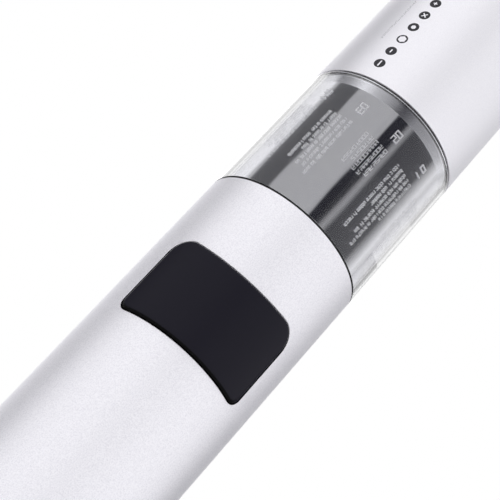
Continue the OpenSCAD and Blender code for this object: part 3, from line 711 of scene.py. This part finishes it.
SEGMENTS = {"top": (0.5, 1, 1, 0), "middle": (0.5, 0.5, 1, 0), "low": (0.5, 0, 1, 0),
            "left_up": (0, 0.75, 0, 0.5), "left_down": (0, 0.25, 0, 0.5),
            "right_up": (1, 0.75, 0, 0.5), "right_down": (1, 0.25, 0, 0.5)}
FIGURES = {"0": "top low left_up left_down right_up right_down", "1": "right_up right_down",
           "2": "top middle low right_up left_down", "3": "top middle low right_up right_down",
           "4": "middle left_up right_up right_down", "5": "top middle low left_up right_down",
           "6": "top middle low left_up left_down right_down", "7": "top right_up right_down",
           "8": "top middle low left_up left_down right_up right_down",
           "9": "top middle low left_up right_up right_down"}


def printed_stroke(mesh, angle, height, size, radius, film):
    """One printed bar: size is its length round the axis and its height along it."""
    place = Matrix.Rotation(angle, 4, "Z") @ Matrix.Translation((0, -radius, height))
    bmesh.ops.create_cube(mesh, size=1, matrix=place @ Matrix.Diagonal((size[0], film, size[1], 1)))


def printed_figure(mesh, angle, height, parts, width, tall, bar, radius, film):
    """One figure that reads down the tool, its head turned to the right; angle is its baseline."""
    for part in parts:
        along, up, level, upright = SEGMENTS[part]
        middle = angle + up * tall / radius
        size = (upright * tall + bar, level * width + bar)
        printed_stroke(mesh, middle, height - along * width, size, radius, film)


def printed_line(mesh, shuffle, angle, height, length, dense):
    """Uneven words of plain strokes: low ones between two heights, some with one tall bar."""
    letter, low, gap = (dense_w, dense_h, dense_gap) if dense else (letter_w, letter_h, letter_gap)
    shapes = DENSE_SHAPES if dense else SHAPES
    end = height - length
    while height > end:
        for _ in range(shuffle.randint(2, 9)):
            parts = shuffle.choice(shapes).split()
            printed_figure(mesh, angle, height, parts, letter, low, stroke_w, print_r, print_film)
            if not dense and shuffle.random() < 0.25:
                middle = angle + tall_h / 2 / print_r
                printed_stroke(mesh, middle, height, (tall_h, stroke_w), print_r, print_film)
            height -= letter + gap
            if height < end:
                return
        height -= word_gap


def print_column(column, shuffle):
    """One column: five lines under its number. The front three have their own line lengths."""
    mesh = bmesh.new()
    lengths = {0: (12.8, 23.9, 21.4, 13.1, 22.3), 1: (9.0, 9.9, 10.1, 8.6, 10.1),
               2: (19.4, 17.8, 18.0, 13.7, 17.1)}
    first = math.radians(column_first - column_turn * column)
    rows = lengths.get(column) or [shuffle.uniform(12, 23) for _ in range(5)]
    for row, length in enumerate(rows):
        baseline = first - row * line_pitch - line_drop / print_r
        printed_line(mesh, shuffle, baseline, line_top, length * MM, column == 1)
    baseline = first - math.radians(0.9) - number_drop / print_r
    for place, figure in enumerate(f"{column + 1:02d}"):
        printed_figure(mesh, baseline, number_top - number_step * place, FIGURES[figure].split(),
                       number_w, number_h, number_bar, print_r, print_film)
    return mesh


def white_ink_with_painted_glow(where):
    """Screen ink, slightly uneven, with a painted glow: it gives off a little light of its own."""
    cover = where.noise(0.5 * MM, 2)
    return {"Base Color": cover.colour((0.78, 0.78, 0.8), (0.9, 0.9, 0.92)),
            "Emission Color": cover.colour((0.7, 0.7, 0.72), (0.85, 0.85, 0.87))}


# The emission is a painted glow that makes the print brighter than its lighting alone would.
ink = finish_of("white_screen_ink_with_painted_glow", {"Roughness": 0.6, "Emission Strength": 0.35}, white_ink_with_painted_glow)
shuffle = random.Random(12)
for column in range(12):
    printing = print_column(column, shuffle)
    piece_from(f"sleeve_print_{column + 1:02d}", printing, ink, "handle", "clear_plastic")

# ---- Satin ring ----
# The ring at the barrel's end is turned slightly conical, with a satin finish. Its spigot
# carries the cap, and a groove on the spigot holds the rubber ring.

ring_low, ring_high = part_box("front_ring")
ring_r = sleeve_bore - fit
ring_lean = 0.45 * MM
shoulder_z = sleeve_high.z
spigot_r = 19.95 * MM
spigot_bore = 18.7 * MM
groove_z = shoulder_z + 3.6 * MM
groove_half = 0.6 * MM
seat_z = ring_low.z + 2.2 * MM


def satin_turned(where):
    """Fine turning lines round the ring."""
    lines = where.stretched(0.1, 6).noise(0.4 * MM, 3)
    return {
        "Base Color": lines.colour((0.74, 0.74, 0.78), (0.88, 0.88, 0.92)),
        "Roughness": lines.between(0.18, 0.24),
        "Normal": lines.bump(0.01 * MM, 0.3),
    }


satin = finish_of("satin_turned_aluminium", {"Metallic": 1.0}, satin_turned)
ring_shape = turned([(ring_r - ring_lean, ring_low.z, 0.1 * MM), (ring_r, shoulder_z, 0.2 * MM),
                     (spigot_r, shoulder_z, 0), (spigot_r, groove_z - groove_half, 0),
                     (spigot_r - groove_half, groove_z - groove_half, 0),
                     (spigot_r - groove_half, groove_z + groove_half, 0),
                     (spigot_r, groove_z + groove_half, 0), (spigot_r, ring_high.z, 0.4 * MM),
                     (spigot_bore, ring_high.z, 0.15 * MM), (spigot_bore, seat_z, 0),
                     (barrel_bore, seat_z, 0), (barrel_bore, ring_low.z, 0)])
piece_from("satin_front_ring", ring_shape, satin, "handle", "satin_ring", "front_ring")

# ---- Cap's rubber ring ----
# A rubber ring of round section, stretched into the groove of the spigot. It grips the cap's
# liner by friction.

seal_low, seal_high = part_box("cap_seal")
seal_wire = (seal_high.z - seal_low.z) / 2
seal_mid = seal_high.x - seal_wire


def seal_shape():
    """A round rubber wire spun into a ring."""
    mesh = bmesh.new()
    tip = Matrix.Translation((seal_mid, 0, groove_z)) @ Matrix.Rotation(math.pi / 2, 4, "X")
    bmesh.ops.create_circle(mesh, segments=20, radius=seal_wire, matrix=tip)
    bmesh.ops.spin(mesh, geom=mesh.verts[:] + mesh.edges[:], cent=(0, 0, 0), axis=(0, 0, 1),
                   dvec=(0, 0, 0), angle=math.tau, steps=180, use_merge=True)
    bmesh.ops.recalc_face_normals(mesh, faces=mesh.faces[:])
    return mesh


piece_from("rubber_seal_ring", seal_shape(), rubber, "handle", "black_rubber", "cap_seal")

# ---- Work lights ----
# White lamps on a ring-shaped board shine through a moulded ring of frosted polycarbonate
# round the chuck. The ring is pressed into the spigot.

lens_low, lens_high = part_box("led_lens")
lens_r = spigot_bore - fit
lens_bore = 8.9 * MM


def white_mask(where):
    """White solder mask."""
    mask = where.noise(1.5 * MM)
    return {"Base Color": mask.colour((0.68, 0.68, 0.7), (0.8, 0.8, 0.8)),
            "Roughness": mask.between(0.35, 0.5)}


def frosted(where):
    """Frosted polycarbonate with a fine moulded grain."""
    grain = where.noise(0.3 * MM, 3)
    return {
        "Base Color": grain.colour((0.82, 0.84, 0.86), (0.92, 0.94, 0.95)),
        "Roughness": grain.between(0.4, 0.55),
        "Normal": grain.bump(0.02 * MM, 0.4),
    }


dressed(finish_of("white_solder_mask", {}, white_mask), "led_board")
lens_shape = turned([(lens_r, lens_low.z, 0), (lens_r, lens_high.z, 0.3 * MM),
                     (lens_bore, lens_high.z, 0.3 * MM), (lens_bore, lens_low.z, 0)])
frost = finish_of("frosted_polycarbonate", {"Transmission Weight": 0.4, "IOR": 1.58}, frosted)
piece_from("frosted_lamp_ring", lens_shape, frost, "handle", "lamp_lens", "led_lens")

# ---- Cap shell ----
# The cap is turned from the same aluminium as the handle with a smoother blast, and its
# end is closed.

cap_low, cap_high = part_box("cap_shell")
cap_wall = 1.2 * MM
cap_end = 1.8 * MM


def smooth_blast(where):
    """A finer, flatter blast than the handle's."""
    grain = where.noise(0.22 * MM, 2)
    cloud = where.noise(14 * MM)
    mottle = grain.between(0.25, 1.35) * cloud.between(0.93, 1.0)
    return {
        "Base Color": mottle.colour((0.78, 0.77, 0.83), (0.965, 0.955, 1.0)),
        "Roughness": grain.between(0.46, 0.54),
        "Normal": grain.bump(0.006 * MM, 0.3),
    }


cap_metal = finish_of("fine_blasted_aluminium", {"Metallic": 0.8}, smooth_blast)
cap_shape = turned([(tube_r, cap_low.z, 0.2 * MM), (tube_r, cap_high.z, 0.9 * MM), (0, cap_high.z, 0),
                    (0, cap_high.z - cap_end, 0), (tube_r - cap_wall, cap_high.z - cap_end, 0),
                    (tube_r - cap_wall, cap_low.z, 0)])
piece_from("cap_body", cap_shape, cap_metal, "cap", "anodised_silver", "cap_shell")

# ---- Cap liner ----
# A black plastic liner inside the cap slides over the spigot; its rim is the dark line
# between cap and sleeve.

liner_low, liner_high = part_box("cap_liner")
liner_rim_r = tube_r - 0.5 * MM
liner_r = tube_r - cap_wall - fit
liner_wall = 0.9 * MM
liner_bore = liner_r - liner_wall
liner_shape = turned([(liner_rim_r, liner_low.z, 0.08 * MM), (liner_rim_r, cap_low.z, 0),
                      (liner_r, cap_low.z, 0), (liner_r, liner_high.z, 0),
                      (liner_bore, liner_high.z, 0), (liner_bore, liner_low.z, 0.3 * MM)])
piece_from("cap_liner_sleeve", liner_shape, black_plastic, "cap", "dark_plastic", "cap_liner")

# ---- Marks on the cap ----
# Six round marks are printed in dark grey, one for each bit in the cap, each with that
# bit's end left bare. A faint row of tiny strokes stands beside them.

mark_r = 1.5 * MM
mark_angle = math.radians(-31.1)
MARK_HEIGHTS = {"long_slot": 189.3 * MM, "short_slot": 194.3 * MM, "large_hexagon": 199.2 * MM,
                "small_hexagon": 204.2 * MM, "large_cross": 209.2 * MM, "small_cross": 214.2 * MM}
SLOT_HALF = {"long_slot": 1.0 * MM, "short_slot": 0.6 * MM}
HEXAGON_R = {"large_hexagon": 1.15 * MM, "small_hexagon": 0.72 * MM}
CROSS_REACH = {"large_cross": 0.72 * MM, "small_cross": 0.4 * MM}
slot_half_w = 0.2 * MM
cross_half_w = 0.17 * MM
ink_film = 0.02 * MM
ink_sunk = 0.005 * MM
strip_w = 0.2 * MM
row_angle = math.radians(-46)
row_top = 213.3 * MM
row_end = 197.5 * MM
row_step = 0.55 * MM
row_w, row_h, row_bar = 0.34 * MM, 0.55 * MM, 0.08 * MM


def bit_end(mesh, kind):
    """Draws the outline of the bit's end that a mark leaves bare, flat and centred."""
    if kind in SLOT_HALF:
        bmesh.ops.create_grid(mesh, x_segments=1, y_segments=1, size=1,
                              matrix=Matrix.Diagonal((slot_half_w, SLOT_HALF[kind], 1, 1)))
    elif kind in HEXAGON_R:
        bmesh.ops.create_circle(mesh, cap_ends=True, segments=6, radius=HEXAGON_R[kind])
    else:
        bmesh.ops.create_grid(mesh, x_segments=1, y_segments=1, size=cross_half_w)
        for side in mesh.edges[:]:
            out = (side.verts[0].co + side.verts[1].co).normalized() * CROSS_REACH[kind]
            arm = bmesh.ops.extrude_edge_only(mesh, edges=[side])["geom"]
            tips = [part for part in arm if isinstance(part, bmesh.types.BMVert)]
            bmesh.ops.translate(mesh, verts=tips, vec=out)
        if kind == "large_cross":
            bmesh.ops.rotate(mesh, verts=mesh.verts[:], cent=(0, 0, 0),
                             matrix=Matrix.Rotation(math.pi / 4, 3, "Z"))
    bare_outline(mesh)


def mark_shape(kind, height):
    """A round mark with its bit end cut out, cut into strips and wrapped on the cap."""
    mesh = bmesh.new()
    bit_end(mesh, kind)
    bmesh.ops.create_circle(mesh, segments=48, radius=mark_r)
    bmesh.ops.triangle_fill(mesh, use_beauty=True, edges=mesh.edges[:])
    for step in range(-7, 8):
        sliced(mesh, (step * strip_w, 0, 0), (1, 0, 0))
    thickened(mesh, ink_film)
    for vert in mesh.verts:
        angle = mark_angle + vert.co.x / tube_r
        radius = tube_r - ink_sunk + vert.co.z
        vert.co = Vector((radius * math.sin(angle), -radius * math.cos(angle), height + vert.co.y))
    return mesh


def dark_ink(where):
    """Dense dark grey pad print."""
    cover = where.noise(0.3 * MM, 2)
    return {"Base Color": cover.colour((0.028, 0.027, 0.033), (0.045, 0.043, 0.05)),
            "Roughness": cover.between(0.5, 0.6)}


mark_ink = finish_of("dark_pad_print", {"Specular IOR Level": 0.2}, dark_ink)
for kind, height in MARK_HEIGHTS.items():
    piece_from("mark_" + kind, mark_shape(kind, height), mark_ink, "cap", "anodised_silver")


def faint_row():
    """A row of tiny strokes beside the marks."""
    mesh = bmesh.new()
    shuffle = random.Random(5)
    height = row_top
    while height > row_end:
        parts = shuffle.sample(sorted(SEGMENTS), 3)
        printed_figure(mesh, row_angle, height, parts, row_w, row_h, row_bar, tube_r, ink_film)
        height -= row_step
    return mesh


def grey_ink(where):
    """Thin grey print."""
    cover = where.noise(0.3 * MM, 2)
    return {"Base Color": cover.colour((0.3, 0.3, 0.33), (0.42, 0.42, 0.45))}


piece_from("mark_small_row", faint_row(), finish_of("grey_pad_print", {"Roughness": 0.55}, grey_ink),
           "cap", "anodised_silver")

# ---- Bit rack ----
# A moulded plastic rack in the cap's closed end holds six bits in round pockets. A ring
# magnet under the pockets keeps them in.

dressed(black_plastic, "bit_rack")
dressed(bright_steel, "slotted_bits", "hexagon_bits", "cross_bits")

# ---- Floor ----
# A plain pale disc under the tool, which isn't part of it. The tool stands on its rubber
# foot in the middle.

floor_r = 190 * MM
floor_t = 4 * MM


def pale_paint(where):
    """Matt white paint."""
    roll = where.noise(2 * MM, 2)
    return {"Base Color": roll.colour((0.86, 0.86, 0.87), (0.9, 0.9, 0.91)),
            "Roughness": roll.between(0.7, 0.8)}


floor_shape = turned([(0, 0, 0), (floor_r, 0, 0.5 * MM), (floor_r, -floor_t, 0), (0, -floor_t, 0)], steps=128)
floor_data = bpy.data.meshes.new("floor")
floor_shape.to_mesh(floor_data)
floor_shape.free()
floor_data.materials.append(finish_of("pale_floor_paint", {}, pale_paint))
floor = bpy.data.objects.new("floor", floor_data)
bpy.context.scene.collection.objects.link(floor)

# ---- Studio cards ----
# Tall curved cards stand round the tool at arm's length. The two striped screens are seen only
# through the clear sleeve, where they shape the chrome and the satin ring. The flags behind
# them are seen only in reflections: they darken the satin's edges and one side of the cap.


def card(name, distance, bottom, top, levels, rays, power=1.0):
    """A card whose grey levels are set at bearings, in degrees to the right of the tool's front."""
    start, end = levels[0][0], levels[-1][0]
    turn = math.radians(start)
    foot = Vector((distance * math.sin(turn), -distance * math.cos(turn), bottom))
    mesh = bmesh.new()
    low = mesh.verts.new(foot)
    high = mesh.verts.new((foot.x, foot.y, top))
    edge = mesh.edges.new((low, high))
    bmesh.ops.spin(mesh, geom=[low, high, edge], cent=(0, 0, 0), axis=(0, 0, 1), dvec=(0, 0, 0),
                   angle=math.radians(end - start), steps=max(2, int((end - start) / 2)))
    data = bpy.data.meshes.new(name)
    mesh.to_mesh(data)
    mesh.free()
    paint = bpy.data.materials.new(name)
    paint.use_nodes = True
    tree = paint.node_tree
    tree.nodes.remove(tree.nodes["Principled BSDF"])
    where = Wire(tree).node("TexCoord", {}, {}, "Object")
    across = where.node("SeparateXYZ", {}, {0: where}, 0)
    depth = where.node("SeparateXYZ", {}, {0: where}, 1)
    bearing = where.math("ARCTAN2", across, 0 - depth) * (180 / math.pi)
    share = (bearing - start) * (1 / (end - start))
    stops = [((place - start) / (end - start), level) for place, level in levels]
    shade = where.node("ValToRGB", {"stops": stops}, {0: share})
    tint = shade.colour((0.0, 0.0, 0.007), (1.0, 1.0, 1.0))
    glow = where.node("Emission", {}, {"Color": tint, "Strength": power})
    tree.links.new(glow.socket, tree.nodes["Material Output"].inputs["Surface"])
    data.materials.append(paint)
    made = bpy.data.objects.new(name, data)
    bpy.context.scene.collection.objects.link(made)
    made.visible_camera = False
    made.visible_shadow = False
    made.visible_diffuse = False
    made.visible_glossy = rays == "glossy"
    made.visible_transmission = rays == "transmission"


screen_m = 0.8
flag_m = 0.9
shade_m = 0.95
foot_m = -1.0
split_m = 0.48
head_m = 1.25
card("chrome_screen", screen_m, split_m, head_m,
     [(-180, 0.45), (-168, 0.45), (-165, 1.0), (-153, 1.0), (-150, 0.55), (-144, 0.55), (-140, 1.0),
      (-107, 1.0), (-95, 0.05), (-65, 0.045), (-62, 0.36), (1, 0.38), (4, 0.0), (19, 0.0), (23, 0.2),
      (27, 0.28), (34, 0.03), (82, 0.05), (92, 0.35), (104, 0.8), (114, 0.62), (124, 0.85), (140, 1.0),
      (144, 0.55), (150, 0.55), (153, 1.0), (165, 1.0), (168, 0.45), (180, 0.45)], "transmission")
card("ring_screen", screen_m, foot_m, split_m,
     [(-180, 0.34), (-168, 0.34), (-165, 0.75), (-120, 0.54), (-98, 0.27), (-80, 0.38), (-58, 0.85),
      (-38, 0.38), (-18, 0.23), (2, 0.0), (22, 0.17), (62, 0.35), (82, 0.54), (102, 1.0), (120, 0.38),
      (140, 0.27), (160, 0.75), (165, 0.75), (168, 0.34), (180, 0.34)], "transmission", 1.5)
card("left_flag", flag_m, foot_m, head_m, [(-124, 0.0), (-94, 0.0)], "glossy")
card("left_light", flag_m, foot_m, head_m, [(-174, 1.0), (-152, 1.0)], "glossy", 2.0)
card("right_flag", flag_m, foot_m, 0.62, [(108, 0.0), (152, 0.0)], "glossy")
card("right_shade", shade_m, 0.7, 1.6, [(-6, 0.5), (24, 0.5), (30, 0.75), (90, 0.75), (150, 0.5)],
     "glossy")
card("front_shade", shade_m, foot_m, 0.7, [(-3, 0.6), (13, 0.6)], "glossy")

# ---- Light and camera ----
# An even white room lights the tool from all sides. A long lens looks up at it, rolled so
# that the tool leans across the view.

world = bpy.data.worlds.new("white_room")
world.use_nodes = True
world.node_tree.nodes["Background"].inputs["Color"].default_value = (1, 1, 1, 1)
world.node_tree.nodes["Background"].inputs["Strength"].default_value = 1.0
bpy.context.scene.world = world
bpy.context.scene.view_settings.view_transform = "Standard"

camera_at = (12.44 * MM, -356.24 * MM, -30.75 * MM)
look_up = math.radians(25.0)
look_aside = math.radians(-2.74)
lens_roll = math.radians(42.70)
camera_data = bpy.data.cameras.new("camera")
camera_data.lens = 114.2
camera_data.sensor_width = 36
camera_data.clip_start = 0.01
camera = bpy.data.objects.new("camera", camera_data)
bpy.context.scene.collection.objects.link(camera)
ahead = Vector((math.sin(look_aside) * math.cos(look_up), math.cos(look_aside) * math.cos(look_up),
                math.sin(look_up)))
level_view = ahead.to_track_quat("-Z", "Y").to_matrix().to_4x4()
camera.matrix_world = (Matrix.Translation(camera_at)
                       @ level_view @ Matrix.Rotation(lens_roll, 4, "Z"))
bpy.context.scene.camera = camera
